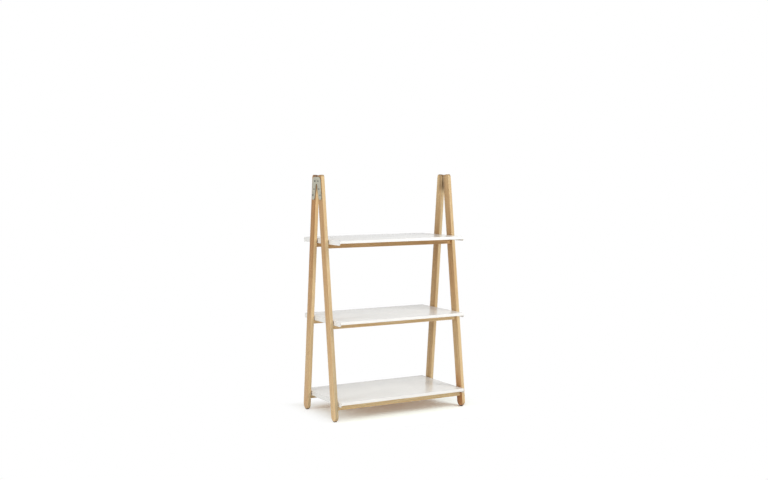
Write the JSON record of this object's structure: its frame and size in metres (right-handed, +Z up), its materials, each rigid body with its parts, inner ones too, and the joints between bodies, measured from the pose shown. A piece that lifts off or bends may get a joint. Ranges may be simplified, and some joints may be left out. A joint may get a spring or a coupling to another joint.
{
  "type": "bookcase",
  "caption": "Low open bookcase: two slanted wooden A-frames with steel top plates carry white tray shelves on wooden rails.",
  "frame": {"origin": "on the floor, under the middle of the bookcase", "axes": "+Z up, X along the shelves from the left frame to the right frame, -Y towards the front"},
  "size_m": [0.7954, 0.448, 1.27],
  "materials": {
    "leg_ash": "oiled ash, matt to satin",
    "rail_ash": "oiled ash, matt to satin",
    "tenon_beech": "plain beech, glued in",
    "shelf_white": "white powder coat, half gloss",
    "bracket_zinc": "bright zinc plating, satin",
    "screw_steel": "blackened steel, rubbed on the crown",
    "pad_rubber": "dark brown rubber, matt"
  },
  "bodies": {
    "root": {"bracket_screws": "screw_steel", "foot_pad_front_left": "pad_rubber", "foot_pad_front_right": "pad_rubber", "foot_pad_rear_left": "pad_rubber", "foot_pad_rear_right": "pad_rubber", "leg_front_left": "leg_ash", "leg_front_right": "leg_ash", "leg_rear_left": "leg_ash", "leg_rear_right": "leg_ash", "rail_bottom_front": "rail_ash", "rail_bottom_rear": "rail_ash", "rail_middle_front": "rail_ash", "rail_middle_rear": "rail_ash", "rail_tenons_bottom": "tenon_beech", "rail_tenons_middle": "tenon_beech", "rail_tenons_top": "tenon_beech", "rail_top_front": "rail_ash", "rail_top_rear": "rail_ash", "shelf_bottom": "shelf_white", "shelf_middle": "shelf_white", "shelf_top": "shelf_white", "top_bracket_left": "bracket_zinc", "top_bracket_right": "bracket_zinc"}
  },
  "joints": []
}
